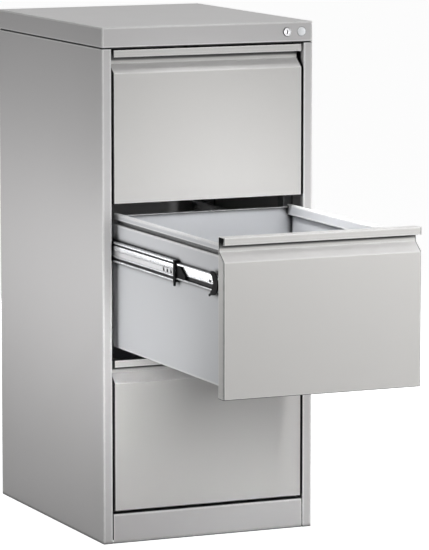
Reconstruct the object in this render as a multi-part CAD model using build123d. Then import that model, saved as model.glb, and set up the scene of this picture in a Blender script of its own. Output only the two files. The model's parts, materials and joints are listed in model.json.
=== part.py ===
"""Suspension file cabinet: folded sheet-steel carcass, three drawers on telescopic ball slides.

Axes: +X to the right, +Y to the back, +Z up; the origin is the middle of the footprint, on the
floor. The functions work with y = 0 on the plane of the closed fronts; write() moves that plane
to the front of the footprint. The middle drawer stands fully open, the other two are shut.
"""

from build123d import *

import os
from math import radians, tan

# ---------------------------------------------------------------- carcass
cabinet_width = 460.0
cabinet_depth = 580.0
cabinet_height = 1042.0
body_sheet = 0.8  # side panels, back, base, plinth, uprights
cover_sheet = 1.0
bend_inside = 0.8  # inside radius of every fold
cover_height = 41.0
cover_edge = 2.0  # rounding of the cover's outer edges
cover_hem = 10.0  # inward return under the cover
cover_seam = 1.5  # shadow line between cover and side panels
stile_width = 19.5  # front return of a side panel
stile_lip = 14.0
rear_return = 15.0
top_flange = 15.0
plinth_height = 60.0
plinth_shelf = 32.0  # top flange of the plinth, resting on the base
plinth_end_gap = 2.0  # between the plinth and a stile
base_flange = 18.0
frame_width = 16.0  # strips between side panels and cover
frame_inset = 3.0
rail_setback = 8.0  # cross rail behind the cover's front face
rail_flange = 12.0
back_flange = 12.0
seat_gap = 0.3  # pieces that are set together
running_gap = 0.4  # pieces that slide past each other

# ---------------------------------------------------------------- uprights
upright_width = 30.0
upright_front = 95.0  # front face of the front pair
upright_rear_inset = 46.0  # rear face of the rear pair, from the end of the slides
hook_slot = (3.6, 15.0)  # width and height of a punched slot
hook_spacing = 24.0  # between the two slots of one slide
hook_reach = 3.0
hook_height = 10.0
hook_sheet = 2.0

# ---------------------------------------------------------------- drawers
drawer_count = 3
drawer_sheet = 0.8
front_side_gap = 4.5
front_gap = 3.5
cover_gap = 4.5
plinth_gap = 6.0
front_return = 25.0  # depth of the folded front
front_edge = 1.5  # rounding of the front's outer edges
grip_lip = 14.5  # height of the lip one pulls on
grip_hem = 6.0
hem_gap = 0.8  # between the lip and its hem
hem_inside = 0.2  # inside radius of the lip's folds
recess_drop = 29.0  # from the top of the front to the foot of the recess wall
bevel_drop = 18.0  # height of the slope between recess and face
crease_round = 3.0
cheek_seam = (3.0, 1.5, 0.4)  # groove down each side of a front: from the face, width, depth
rail_drop = 17.0  # suspension rail below the top of the front
box_foot = 21.0  # underside of the drawer above the bottom of its front
box_overhang = 2.0  # drawer box behind the end of its slides
rail_lip = 12.0
rail_lip_inset = 2.0
rail_groove = 9.0
rail_ledge = 10.0
box_flange = 12.0
floor_flange = 15.0
back_drop = 5.0  # top of the drawer's back below its rails
back_fold = 10.0

# ---------------------------------------------------------------- telescopic slides
slide_drop = 91.0  # slide axis below the top of the front
slide_height = 52.0
slide_width = 12.7
slide_sheet = 1.2
ball_gap = 3.8  # between two nested raceways
slide_lip = 2.4  # curl that holds the ball cage
slide_length = 540.0  # closed length, and the travel of the full extension
inner_front = 26.0
web_step = 1.2  # pressed step along the middle member
web_step_height = 13.0
web_step_drop = 3.0  # middle of the step below the slide's axis
web_slope = 3.6  # height of each slope beside the step
middle_edge_gap = 0.8  # from the middle member's edges to those of the cabinet member
middle_share = 0.715  # part of the drawer's travel made by the middle member
bumper_start = 74.0
bumper_length = 8.0
bumper_tab = (8.0, 4.0)  # how far it hangs down, and its length at the tip
tab_sheet = 3.6
latch_start = 188.0  # release latch inside the drawer member
latch_length = 44.0
latch_land = 16.0  # level part of its top, before the slope down to the nose
latch_nose = 8.0
crescent_radius = 23.0
crescent_waist = 21.0  # front to back at its middle
crescent_bite = 18.0  # radius of the round cut that leaves the crescent
crescent_depth = 33.0  # front to back, tips included
crescent_tail = (16.0, 8.0, 4.0)  # spur at the lower tip: its reach back and down, thickness
crescent_sheet = 2.4
end_hole = (5.0, 6.0)  # length and height of the holes near the front of the middle member
end_hole_count = 3
end_hole_start = 12.0  # first hole, from the front end
end_hole_spacing = 18.0
stop_slot = (11.0, 5.0)  # length and height of the slot in the drawer member

# ---------------------------------------------------------------- lock
lock_from_right = 57.0
bezel_radius = 8.4
bezel_proud = 4.0
bezel_bevel = 0.8
housing_radius = 8.0
plug_radius = 5.5
plug_recess = 0.6  # face of the plug behind that of the bezel
lock_fit = 0.08  # radial play of the plug in its housing
housing_length = 24.3
keyway = (2.2, 8.0, 10.0)  # width, height, depth
cam_sheet = 2.0
cam_throw = 10.0
cam_pin_radius = 2.5
cam_rim = 1.0  # of the cam round its pin
cam_slack = 2.2  # rise of the pin beyond the bar's even travel
bar_start = 27.0
bar_sheet = 2.0
bar_width = 12.0
bar_arm_height = 14.0
catch_drop = 140.0  # top of a bar hook below the top of its drawer front
catch_height = 10.0
catch_reach = 7.0  # overlap of bar hook and drawer lug, side to side
catch_clear = 2.0
guide_height = 12.0
guide_wall = 1.2
disc_from_right = 24.5
disc_radius = 9.6
disc_sheet = 1.2
disc_edge = 0.5

# ---------------------------------------------------------------- derived places
half_width = cabinet_width / 2
cover_bottom = cabinet_height - cover_height
side_top = cover_bottom - cover_seam
base_top = plinth_height - body_sheet
slide_start = stile_width + 0.5 * body_sheet  # mounting face of a slide, from the cabinet's side
slide_face = half_width - slide_start
box_half = slide_face - slide_width  # outer face of a drawer side
front_half = half_width - stile_width - front_side_gap
first_top = cover_bottom - cover_gap
fronts_height = first_top - plinth_height - plinth_gap
front_height = (fronts_height - (drawer_count - 1) * front_gap) / drawer_count
front_pitch = front_height + front_gap
front_tops = [first_top - i * front_pitch for i in range(drawer_count)]
recess_depth = front_return - 2 * drawer_sheet
box_front = front_return
slide_rear = inner_front + slide_length
drawer_travel = slide_length
box_rear = slide_rear + box_overhang
box_height = front_height - rail_drop - box_foot
upright_rear = slide_rear - upright_rear_inset - upright_width
middle_start = bumper_start + bumper_length
outer_start = middle_start + 2 * running_gap
middle_height = slide_height - 2 * (slide_sheet + ball_gap)
inner_height = middle_height - 2 * (slide_sheet + ball_gap)
middle_web = slide_sheet + running_gap
middle_edge = slide_width - 2 * running_gap - middle_edge_gap
inner_lip_at = middle_web + slide_sheet + web_step + running_gap
lock_x = half_width - lock_from_right
lock_z = cover_bottom + cover_height / 2
bar_right = half_width - body_sheet - seat_gap
bar_left = bar_right - bar_width
open_drawer = 1


def block(x, y, z):
    """A plain block between pairs of limits."""
    size = [abs(b - a) for a, b in (x, y, z)]
    middle = [(a + b) / 2 for a, b in (x, y, z)]
    return Pos(*middle) * Box(*size)


def along_x(section, x0, x1):
    """A section drawn in (y, z), extruded between two x values."""
    return extrude(Plane.YZ.offset(x0) * section, amount=x1 - x0)


def along_y(section, y0, y1):
    """A section drawn in (x, z), extruded between two y values."""
    return extrude(Plane.XZ.offset(-y0) * section, amount=y0 - y1)


def along_z(section, z0, z1):
    """A section drawn in (x, y), extruded between two z values."""
    return extrude(Plane.XY.offset(z0) * section, amount=z1 - z0)


def thickened(path, thickness, corners=Kind.ARC):
    """The section of a sheet that lies to the left of a path."""
    outline = offset(path, amount=thickness, side=Side.LEFT, kind=corners, closed=True)
    return make_face(outline.edges())


def folded(points, thickness):
    """The section of a folded sheet, each bend drawn as one short flat."""
    corners = [Vector(*point) for point in points]
    path = [corners[0]]
    for before, corner, after in zip(corners, corners[1:], corners[2:]):
        back = (before - corner).normalized()
        on = (after - corner).normalized()
        half_turn = (180 - back.get_angle(on)) / 2
        cut = (bend_inside + thickness) * tan(radians(half_turn))
        path += [corner + back * cut, corner + on * cut]
    path.append(corners[-1])
    return thickened(Polyline(*path), thickness, Kind.INTERSECTION)


def rounded(points, thickness, radii):
    """The section of a folded sheet with round bends, for the folds that are in plain sight."""
    return thickened(FilletPolyline(*points, radius=radii), thickness)


def rectangle(a, b):
    """A flat rectangle between pairs of limits, drawn in the section's own plane."""
    middle = Pos((a[0] + a[1]) / 2, (b[0] + b[1]) / 2)
    return middle * Rectangle(abs(a[1] - a[0]), abs(b[1] - b[0]))


def cylinder_y(radius, x, z, y0, y1):
    """A round bar that runs front to back."""
    return along_y(Pos(x, z) * Circle(radius), y0, y1)


def write(name, part, shift=0.0):
    """Saves one sub-part, moved so that the origin is the middle of the footprint."""
    placed = Pos(0, shift - cabinet_depth / 2, 0) * part
    placed.label = name
    export_step(placed, f"parts/{name}.step")


# ================================================================ carcass
def bar_notch():
    """The opening that lets the locking bar through the folded edges under the cover."""
    return block(
        (bar_left - 2 * running_gap, half_width - body_sheet),
        (bar_start - 3 * running_gap, bar_start + bar_sheet + 3 * running_gap),
        (side_top - 2 * body_sheet, cover_bottom + 2 * cover_sheet),
    )


def side_panel():
    """Left side panel: one folded sheet with the front stile, its lip and the rear return."""
    left = -half_width
    section = rounded(
        [
            (left + rear_return, cabinet_depth),
            (left, cabinet_depth),
            (left, 0),
            (left + stile_width, 0),
            (left + stile_width, stile_lip),
        ],
        body_sheet,
        bend_inside + body_sheet,
    )
    panel = along_z(section, 0, side_top)
    flange = block(
        (left + body_sheet / 2, left + body_sheet + top_flange),
        (stile_lip + seat_gap, cabinet_depth - 3 * body_sheet - back_flange),
        (side_top - body_sheet, side_top),
    )
    return panel + flange


def back_panel():
    """Back panel: a sheet set inside the rear returns, its side edges folded forward."""
    right = half_width - body_sheet - seat_gap
    rear = cabinet_depth - body_sheet
    section = folded(
        [(right, rear - back_flange), (right, rear), (-right, rear), (-right, rear - back_flange)],
        body_sheet,
    )
    return along_z(section, base_top, side_top)


def top_cover():
    """The cap: a shallow folded box, open below inside a narrow hem, bored for the lock."""
    x = (-half_width, half_width)
    y = (0, cabinet_depth)
    outer = block(x, y, (cover_bottom, cabinet_height))
    upper_edges = outer.faces().sort_by(Axis.Z)[-1].edges()
    outer = fillet(outer.edges().filter_by(Axis.Z) + upper_edges, cover_edge)
    t = cover_sheet
    cavity = block(
        (x[0] + t, x[1] - t), (y[0] + t, y[1] - t), (cover_bottom + t, cabinet_height - t)
    )
    hem = t + cover_hem
    mouth = block(
        (x[0] + hem, x[1] - hem), (y[0] + hem, y[1] - hem), (cover_bottom - t, cover_bottom + 2 * t)
    )
    bore = cylinder_y(housing_radius + seat_gap, lock_x, lock_z, -t, 2 * t)
    return outer - cavity - mouth - bore - bar_notch()


def seam_strips():
    """Four set-back strips that carry the cover and leave a shadow line round the cabinet."""
    x = half_width - frame_inset
    y = (frame_inset, cabinet_depth - frame_inset)
    z = (side_top, cover_bottom)
    w = frame_width
    left = block((-x, w - x), y, z)
    right = block((x - w, x), y, z) - bar_notch()
    front = block((w - x, x - w), (y[0], y[0] + w), z)
    rear = block((w - x, x - w), (y[1] - w, y[1]), z)
    return Compound(children=[left, right, front, rear])


def front_rail():
    """Cross rail behind the cover's front face; the lock passes through it."""
    y0 = cover_sheet + rail_setback
    z0 = cover_bottom + cover_sheet
    z1 = cabinet_height - cover_sheet
    section = folded(
        [(y0 + rail_flange, z1), (y0, z1), (y0, z0), (y0 + rail_flange, z0)], cover_sheet
    )
    x = half_width - cover_sheet - seat_gap
    bore = cylinder_y(
        housing_radius + seat_gap, lock_x, lock_z, y0 - cover_sheet, y0 + 2 * cover_sheet
    )
    return along_x(section, -x, x) - bore


def bottom_shelf():
    """The cabinet's bottom: a flat sheet on the base frame."""
    x = half_width - body_sheet - bend_inside
    y = (stile_lip + seat_gap, cabinet_depth - 2 * body_sheet - bend_inside)
    return block((-x, x), y, (base_top - body_sheet, base_top))


def angle_section(a, reach):
    """An angle standing at a on its foot, the foot turned towards reach."""
    high = base_top - body_sheet
    points = [(a, high), (a, 0), (a + reach, 0)]
    if reach < 0:
        points.reverse()
    return folded(points, body_sheet)


def base_frame():
    """Welded angles under the shelf: one along each side and three across, feet on the floor."""
    x = half_width - body_sheet
    y0 = plinth_shelf
    y1 = cabinet_depth - 2 * body_sheet - bend_inside
    left = along_y(angle_section(-x, base_flange), y0, y1)
    pieces = [left, mirror(left, about=Plane.YZ)]
    x -= base_flange
    front = along_x(angle_section(y0, base_flange), -x, x)
    middle = along_x(angle_section((cabinet_depth - base_flange) / 2, base_flange), -x, x)
    rear = along_x(angle_section(y1, -base_flange), -x, x)
    return Compound(children=pieces + [front, middle, rear])


def plinth():
    """Plinth board between the stiles, folded back at the top and at the floor."""
    section = folded(
        [
            (plinth_shelf, plinth_height),
            (0, plinth_height),
            (0, 0),
            (stile_lip - seat_gap, 0),
        ],
        body_sheet,
    )
    x = half_width - stile_width - plinth_end_gap
    return along_x(section, -x, x)


def slide_axis(top):
    """Height of a drawer's slides."""
    return top - slide_drop


def upright(y0):
    """Left upright: a channel with pairs of slots for the slides' hooks."""
    wall = body_sheet - half_width
    face = slide_start - half_width
    y1 = y0 + upright_width
    channel = along_z(
        folded([(wall, y0), (face, y0), (face, y1), (wall, y1)], body_sheet),
        base_top,
        side_top - body_sheet,
    )
    for top in front_tops:
        for side in (-1, 1):
            z = slide_axis(top) + side * hook_spacing / 2
            y = (y0 + y1) / 2
            channel -= block(
                (face - 2 * body_sheet, face + body_sheet),
                (y - hook_slot[0] / 2, y + hook_slot[0] / 2),
                (z - hook_slot[1] / 2, z + hook_slot[1] / 2),
            )
    return channel


def uprights():
    """Both pairs of uprights."""
    left = [upright(upright_front), upright(upright_rear)]
    return Compound(children=left + [mirror(post, about=Plane.YZ) for post in left])


# ================================================================ slides
def channel_section(x_web, x_edge, height, steps=()):
    """A C-shaped slide member with curled edges, drawn about the slide's axis."""
    h = height / 2
    lip = slide_lip + slide_sheet
    middle = [(x_web + dx, z) for dx, z in steps]
    points = [(x_edge, h - lip), (x_edge, h), (x_web, h), *middle, (x_web, -h)]
    points += [(x_edge, -h), (x_edge, lip - h)]
    if x_edge < x_web:
        points.reverse()
    return folded(points, slide_sheet)


def at_slide(solid, top):
    """Moves a left slide piece, drawn from the cabinet's mounting face, to its drawer."""
    return Pos(-slide_face, 0, slide_axis(top)) * solid


def outer_member(top):
    """Cabinet member of the left slide, with the hooks that hold it to the uprights."""
    section = channel_section(0, slide_width - running_gap, slide_height)
    member = along_y(section, outer_start, slide_rear)
    for y0 in (upright_front, upright_rear):
        y = y0 + upright_width / 2
        for side in (-1, 1):
            z = side * hook_spacing / 2
            member += block(
                (-hook_reach, slide_sheet / 2),
                (y - hook_sheet / 2, y + hook_sheet / 2),
                (z - hook_height / 2, z + hook_height / 2),
            )
    return at_slide(member, top)


def middle_member(top):
    """Middle member of the left slide: stepped web, punched near its front end."""
    high = web_step_height / 2 - web_step_drop
    low = high - web_step_height
    steps = [(0, high + web_slope), (web_step, high), (web_step, low), (0, low - web_slope)]
    section = channel_section(middle_web, middle_edge, middle_height, steps)
    member = along_y(section, middle_start, slide_rear)
    for i in range(end_hole_count):
        y = middle_start + end_hole_start + i * end_hole_spacing
        member -= Pos(middle_web, y, -web_step_drop) * Box(slide_width, *end_hole)
    return at_slide(member, top)


def inner_member(top):
    """Drawer member of the left slide, its web against the drawer side."""
    section = channel_section(slide_width, inner_lip_at, inner_height)
    member = along_y(section, inner_front, slide_rear)
    y = inner_front + 2 * crescent_radius
    length, height = stop_slot
    slot = block(
        (slide_width - 2 * slide_sheet, slide_width + slide_sheet),
        (y, y + length),
        (-height / 2, height / 2),
    )
    return at_slide(member - slot, top)


def bumper(top):
    """Moulded end piece of the middle member: it wraps the drawer member and ends in a tab."""
    h = middle_height / 2
    hole = inner_height / 2 + running_gap
    section = rectangle((middle_web, middle_edge), (-h, h))
    section -= rectangle((inner_lip_at - running_gap, slide_width), (-hole, hole))
    body = along_y(section, bumper_start, middle_start)
    drop, tip = bumper_tab
    middle = (bumper_start + middle_start) / 2
    outline = Polyline(
        (bumper_start + slide_sheet, -h),
        (middle - tip / 2, -h - drop),
        (middle + tip / 2, -h - drop),
        (middle_start - slide_sheet, -h),
        (middle_start - slide_sheet, -h + slide_sheet),
        (bumper_start + slide_sheet, -h + slide_sheet),
        close=True,
    )
    tab = along_x(make_face(outline), middle_web, middle_web + tab_sheet)
    return at_slide(body + tab, top)


def latch(top):
    """Wedge-shaped release latch lying in the drawer member's channel."""
    x0 = inner_lip_at + slide_sheet + running_gap
    x1 = slide_width - slide_sheet
    h = inner_height / 2 - slide_sheet - bend_inside - running_gap
    back = latch_start + latch_length
    outline = Polyline(
        (back, -h),
        (back, h),
        (back - latch_land, h),
        (latch_start, latch_nose - h),
        (latch_start, -h),
        close=True,
    )
    return at_slide(along_x(make_face(outline), x0, x1), top)


def crescent(top):
    """Moulded crescent on the front end of the drawer member."""
    r = crescent_radius
    centre = inner_front + r
    rear = inner_front + crescent_depth
    bite = Pos(inner_front + crescent_waist + crescent_bite, 0) * Circle(crescent_bite)
    moon = Pos(centre, 0) * Circle(r) - bite
    moon &= rectangle((inner_front, rear), (-r, r))
    reach, drop, thickness = crescent_tail
    spur = Line((centre, thickness - r), (centre + reach, thickness - r - drop))
    moon += thickened(spur, thickness)
    plate = along_x(moon, inner_lip_at - crescent_sheet, inner_lip_at)
    return at_slide(plate, top)


# ================================================================ drawers
def drawer_front(top):
    """The folded front: a shallow tray whose face slopes back to a finger recess at the top."""
    low = top - front_height
    high = top - drawer_sheet
    wall_foot = top - recess_drop
    crease = wall_foot - bevel_drop
    bend = bend_inside + drawer_sheet
    face = [(recess_depth, high), (recess_depth, wall_foot), (0, crease), (0, low)]
    points = [(front_return, high), *face, (front_return, low)]
    radii = [drawer_sheet + seat_gap, bend, crease_round, bend]
    path = FilletPolyline(*points, radius=radii)
    sheet = thickened(path, drawer_sheet)
    cheek = make_face(path.edges() + Line(points[-1], points[0]).edges())
    tray = along_x(sheet, -front_half, front_half)
    for x in (-front_half, front_half - drawer_sheet):
        tray += along_x(cheek, x, x + drawer_sheet)
    inset, seam_width, seam_depth = cheek_seam
    seam_points = [(y + inset, z) for y, z in face[1:-1]] + [(inset, low + front_edge)]
    seam = thickened(Polyline(*seam_points), seam_width, Kind.INTERSECTION)
    for x in (-front_half, front_half - seam_depth):
        tray -= along_x(seam, x, x + seam_depth)
    plan = rectangle((-front_half, front_half), (0, front_return))
    plan = fillet(plan.vertices().group_by(Axis.Y)[0], front_edge)
    return tray & along_z(plan, low, high)


def front_lining(top):
    """The flat sheet that closes the back of the folded front."""
    x = front_half - drawer_sheet - seat_gap
    high = top - 2 * drawer_sheet - bend_inside - seat_gap
    z = (top - front_height + drawer_sheet + seat_gap, high)
    return block((-x, x), (front_return - drawer_sheet, front_return), z)


def grip(top):
    """Grip strip across the top of a front: a flat top, a lip and a hem folded up behind it."""
    fold = 2 * drawer_sheet + hem_gap
    foot = top - grip_lip
    points = [(front_return, top), (0, top), (0, foot), (fold, foot), (fold, foot + grip_hem)]
    section = rounded(points, drawer_sheet, drawer_sheet + hem_inside)
    return along_x(section, -front_half, front_half)


def box_side(top):
    """Left drawer side: its top edge is folded into the rail the hanging files run on."""
    rail = top - rail_drop
    foot = rail - box_height
    t = drawer_sheet
    ledge = rail - rail_lip - rail_groove
    points = [
        (rail_lip_inset + t, rail - rail_lip),
        (rail_lip_inset + t, rail - t),
        (rail_ledge, rail - t),
        (rail_ledge, ledge),
        (0, ledge),
        (0, foot),
        (box_flange, foot),
    ]
    return Pos(-box_half, 0, 0) * along_y(folded(points, t), box_front, box_rear)


def lock_lug(top):
    """The lug on the right drawer side that the locking bar's hook stands in front of."""
    z1 = top - catch_drop - catch_height - catch_clear
    y0 = bar_start + bar_sheet + catch_clear
    x1 = half_width - stile_width - catch_clear
    return block(
        (box_half - drawer_sheet / 2, x1), (y0, y0 + bar_sheet), (z1 - catch_height, z1)
    )


def box_back(top):
    """Back of the drawer: folded forward along its top, stepped in beside the rails."""
    x = box_half - drawer_sheet - seat_gap
    foot = top - rail_drop - box_height + drawer_sheet
    high = top - rail_drop - back_drop
    points = [(box_rear, foot), (box_rear, high), (box_rear - back_fold, high)]
    back = along_x(folded(points, drawer_sheet), -x, x)
    neck = box_half - rail_ledge - drawer_sheet - seat_gap
    ledge = top - rail_drop - rail_lip - rail_groove - drawer_sheet - bend_inside - seat_gap
    for side in (-1, 1):
        back -= block(
            (side * neck, side * box_half),
            (box_rear - 2 * back_fold, box_rear + back_fold),
            (ledge, high + drawer_sheet),
        )
    return back


def box_floor(top):
    """Floor of the drawer, lying on the sides' bottom flanges."""
    z = top - rail_drop - box_height + drawer_sheet
    y0 = box_front
    y1 = box_rear - drawer_sheet
    section = folded([(y0, z + floor_flange), (y0, z), (y1, z), (y1, z + floor_flange)], drawer_sheet)
    x = box_half - drawer_sheet - bend_inside - seat_gap
    return along_x(section, -x, x)


# ================================================================ lock
def lock_housing():
    """Lock housing with its bezel, through the cover and the cross rail."""
    bezel = cylinder_y(bezel_radius, lock_x, lock_z, -bezel_proud, 0)
    rim = bezel.edges().sort_by(Axis.Y)[0]
    bezel = chamfer(rim, bezel_bevel)
    body = cylinder_y(housing_radius, lock_x, lock_z, 0, housing_length)
    bore = cylinder_y(
        plug_radius + lock_fit, lock_x, lock_z, -2 * bezel_proud, housing_length + bezel_proud
    )
    return bezel + body - bore


def lock_plug():
    """Turning plug with its keyway; the cam behind it carries the pin that moves the bar."""
    rear = housing_length + running_gap
    plug = cylinder_y(plug_radius, lock_x, lock_z, plug_recess - bezel_proud, rear)
    width, height, depth = keyway
    slot = block(
        (lock_x - width / 2, lock_x + width / 2),
        (-bezel_proud, depth),
        (lock_z - height / 2, lock_z + height / 2),
    )
    cam_rear = rear + cam_sheet
    tip = lock_x + cam_throw
    cam = make_hull(
        [
            *(Pos(lock_x, lock_z) * Circle(plug_radius)).edges(),
            *(Pos(tip, lock_z) * Circle(cam_pin_radius + cam_rim)).edges(),
        ]
    )
    pin_end = bar_start + 2 * bar_sheet
    pin = cylinder_y(cam_pin_radius, tip, lock_z, rear, pin_end)
    return plug - slot + along_y(cam, rear, cam_rear) + pin


def bar_hook(top):
    """One hook of the locking bar, reaching in beside its drawer."""
    x0 = half_width - stile_width - catch_clear - catch_reach
    z1 = top - catch_drop
    y = (bar_start, bar_start + bar_sheet)
    return block((x0, bar_left + bar_width / 2), y, (z1 - catch_height, z1))


def lock_bar():
    """Locking bar: a strip behind the right stile, with an arm to the cam and one hook a drawer."""
    y = (bar_start, bar_start + bar_sheet)
    foot = front_tops[-1] - catch_drop - 2 * catch_height
    arm_low = cover_bottom + cover_sheet + cam_throw + catch_clear
    bar = block((bar_left, bar_right), y, (foot, arm_low + bar_arm_height))
    arm = block(
        (lock_x - 3 * cam_pin_radius, bar_right), y, (arm_low, arm_low + bar_arm_height)
    )
    bar += arm
    for top in front_tops:
        bar += bar_hook(top)
    play = cam_pin_radius + running_gap
    slot = block(
        (lock_x - play, lock_x + cam_throw + play),
        (y[0] - bar_sheet, y[1] + bar_sheet),
        (lock_z - play - cam_slack, lock_z + play),
    )
    return bar - slot


def bar_guides():
    """Clips that hold the locking bar to the side panel, one below each bar hook."""
    clips = []
    for top in front_tops:
        z0 = top - catch_drop - 4 * catch_height
        shell = block(
            (bar_left - seat_gap - guide_wall, half_width - body_sheet),
            (bar_start - seat_gap - guide_wall, bar_start + bar_sheet + seat_gap + guide_wall),
            (z0, z0 + guide_height),
        )
        channel = block(
            (bar_left - seat_gap, half_width),
            (bar_start - seat_gap, bar_start + bar_sheet + seat_gap),
            (z0 - guide_wall, z0 + guide_height + guide_wall),
        )
        clips.append(shell - channel)
    return Compound(children=clips)


def blank_disc():
    """Plain round disc beside the lock."""
    x = half_width - disc_from_right
    disc = cylinder_y(disc_radius, x, lock_z, -disc_sheet, 0)
    return chamfer(disc.edges().sort_by(Axis.Y)[0], disc_edge)


# ================================================================ assembly
def pair(left):
    """A left piece and its mirror image, as two solids of one sub-part."""
    return Compound(children=[left, mirror(left, about=Plane.YZ)])


def write_drawer(index, top):
    """Writes every sub-part of one drawer and of its two slides."""
    name = f"drawer_{index + 1}"
    slide = f"slide_{index + 1}"
    shift = -drawer_travel if index == open_drawer else 0.0
    middle_shift = shift * middle_share
    side = box_side(top)
    write(f"{name}_front", drawer_front(top), shift)
    write(f"{name}_lining", front_lining(top), shift)
    write(f"{name}_grip", grip(top), shift)
    write(f"{name}_left_side", side, shift)
    write(f"{name}_right_side", mirror(side, about=Plane.YZ) + lock_lug(top), shift)
    write(f"{name}_back", box_back(top), shift)
    write(f"{name}_floor", box_floor(top), shift)
    write(f"{slide}_outer", pair(outer_member(top)))
    for end, place in (("left", lambda s: s), ("right", lambda s: mirror(s, about=Plane.YZ))):
        write(f"{slide}_inner_{end}", place(inner_member(top)), shift)
        write(f"{slide}_middle_{end}", place(middle_member(top)), middle_shift)
        write(f"{slide}_bumper_{end}", place(bumper(top)), middle_shift)
    mouldings = [latch(top), crescent(top)]
    mouldings += [mirror(piece, about=Plane.YZ) for piece in mouldings]
    write(f"{slide}_mouldings", Compound(children=mouldings), shift)


os.makedirs("parts", exist_ok=True)
left_panel = side_panel()
write("left_side_panel", left_panel)
write("right_side_panel", mirror(left_panel, about=Plane.YZ) - bar_notch())
write("back_panel", back_panel())
write("top_cover", top_cover())
write("seam_strips", seam_strips())
write("front_rail", front_rail())
write("bottom_shelf", bottom_shelf())
write("base_frame", base_frame())
write("plinth", plinth())
write("uprights", uprights())
write("lock_housing", lock_housing())
write("lock_plug", lock_plug())
write("lock_bar", lock_bar())
write("bar_guides", bar_guides())
write("blank_disc", blank_disc())
for number, front_top in enumerate(front_tops):
    write_drawer(number, front_top)
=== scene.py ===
"""Looks of the suspension file cabinet: finishes, slides, weld dents, floor, light, camera."""
import json
import math

import bmesh
import bpy
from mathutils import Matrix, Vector


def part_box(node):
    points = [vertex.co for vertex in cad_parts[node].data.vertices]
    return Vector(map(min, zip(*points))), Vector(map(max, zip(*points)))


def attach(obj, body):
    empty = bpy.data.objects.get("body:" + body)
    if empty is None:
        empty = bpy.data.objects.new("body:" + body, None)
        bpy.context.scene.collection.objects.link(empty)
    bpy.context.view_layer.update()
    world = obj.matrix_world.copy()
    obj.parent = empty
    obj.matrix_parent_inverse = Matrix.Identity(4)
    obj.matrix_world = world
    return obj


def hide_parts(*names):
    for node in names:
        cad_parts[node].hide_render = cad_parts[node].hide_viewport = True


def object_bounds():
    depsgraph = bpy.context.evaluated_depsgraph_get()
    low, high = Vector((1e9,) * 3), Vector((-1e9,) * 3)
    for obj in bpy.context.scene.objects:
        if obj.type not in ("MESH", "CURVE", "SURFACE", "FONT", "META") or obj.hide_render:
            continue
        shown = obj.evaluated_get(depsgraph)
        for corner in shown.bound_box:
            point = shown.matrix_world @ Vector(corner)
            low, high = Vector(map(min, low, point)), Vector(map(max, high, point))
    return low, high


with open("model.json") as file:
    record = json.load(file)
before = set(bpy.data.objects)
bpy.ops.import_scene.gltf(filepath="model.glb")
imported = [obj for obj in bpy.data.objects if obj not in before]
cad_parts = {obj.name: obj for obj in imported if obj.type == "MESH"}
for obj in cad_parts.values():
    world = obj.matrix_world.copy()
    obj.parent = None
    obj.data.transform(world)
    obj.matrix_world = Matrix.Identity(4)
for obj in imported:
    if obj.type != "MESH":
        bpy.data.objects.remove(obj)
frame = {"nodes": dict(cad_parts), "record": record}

cad_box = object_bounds()
nodes = frame["nodes"]
mm = 0.001

# ---------------------------------------------------------------- slide sizes
slide_sheet = 1.2 * mm
member_bend = 1.3 * mm       # outer corners of a rolled member
small_bend = 0.5 * mm        # corners of its pressed grooves and steps
curl = 3.6 * mm              # height of a member's curled edge
race_depth = 1.2 * mm        # grooves pressed along the middle member
race_from = 4.2 * mm         # first groove wall, from the member's top and bottom
race_width = 4.0 * mm        # upper groove
low_race_width = 6.4 * mm    # lower groove
slant = 1.0 * mm             # height of the slanted wall of a groove or of the sunk band
step_depth = 1.2 * mm        # sunk band between the two lands
step_top = 3.5 * mm          # band edges, from the slide's axis
step_foot = -8.8 * mm
land_rise = 1.1 * mm         # raised land in the drawer member's web
land_top = 10.5 * mm
land_foot = -5.0 * mm
hole_size = (8.0 * mm, 7.0 * mm)                    # length and height of a punched hole
hole_places = (12.0 * mm, 30.0 * mm, 48.0 * mm)     # from the member's front end
hole_drop = 3.0 * mm
stop_slot = (46.0 * mm, 11.0 * mm, 5.0 * mm)        # from the front end, length, height
bend_steps = 4               # straight pieces that make up a bend
bend_share = 0.48            # most of a straight run that the bend at one end may take

# ---------------------------------------------------------------- ball cage sizes
ball_radius = 1.75 * mm
ball_spacing = 24.0 * mm
cabinet_balls, drawer_balls = 4, 12
first_ball = 30.0 * mm       # from the middle member's front end
ball_height = 1.9 * mm       # from a member's edge to the middle of the balls beside it
ball_play = 0.15 * mm        # around a ball in its window
cage_width = 5.4 * mm
cage_sheet = 1.0 * mm
cage_lip = 0.4 * mm          # turned-down edges of a strip
cage_end = 8.0 * mm          # strip past its first and last ball

# ---------------------------------------------------------------- lock and disc sizes
lock_bore = 5.58 * mm
lock_barrel = 8.0 * mm
bore_bevel = 0.3 * mm
barrel_bevel = 0.5 * mm
thread_pitch = 1.0 * mm
thread_depth = 0.3 * mm
thread_from = 3.0 * mm       # behind the flange
thread_to = 2.0 * mm         # before the barrel's end
# profiles in mm: radius, or how far in from the rim, and depth behind the front
bezel_groove_radii = ((6.5, 0.0), (6.62, 0.18), (6.88, 0.18), (7.0, 0.0))
bezel_rim_inward = ((0.8, 0.0), (0.35, 0.12), (0.1, 0.4), (0.0, 0.8))
disc_face_radii = ((0.0, 0.25), (3.0, 0.25), (6.8, 0.22), (7.4, 0.1), (8.0, 0.0), (8.8, 0.05))
disc_rim_inward = ((0.3, 0.3), (0.0, 0.7))

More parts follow.
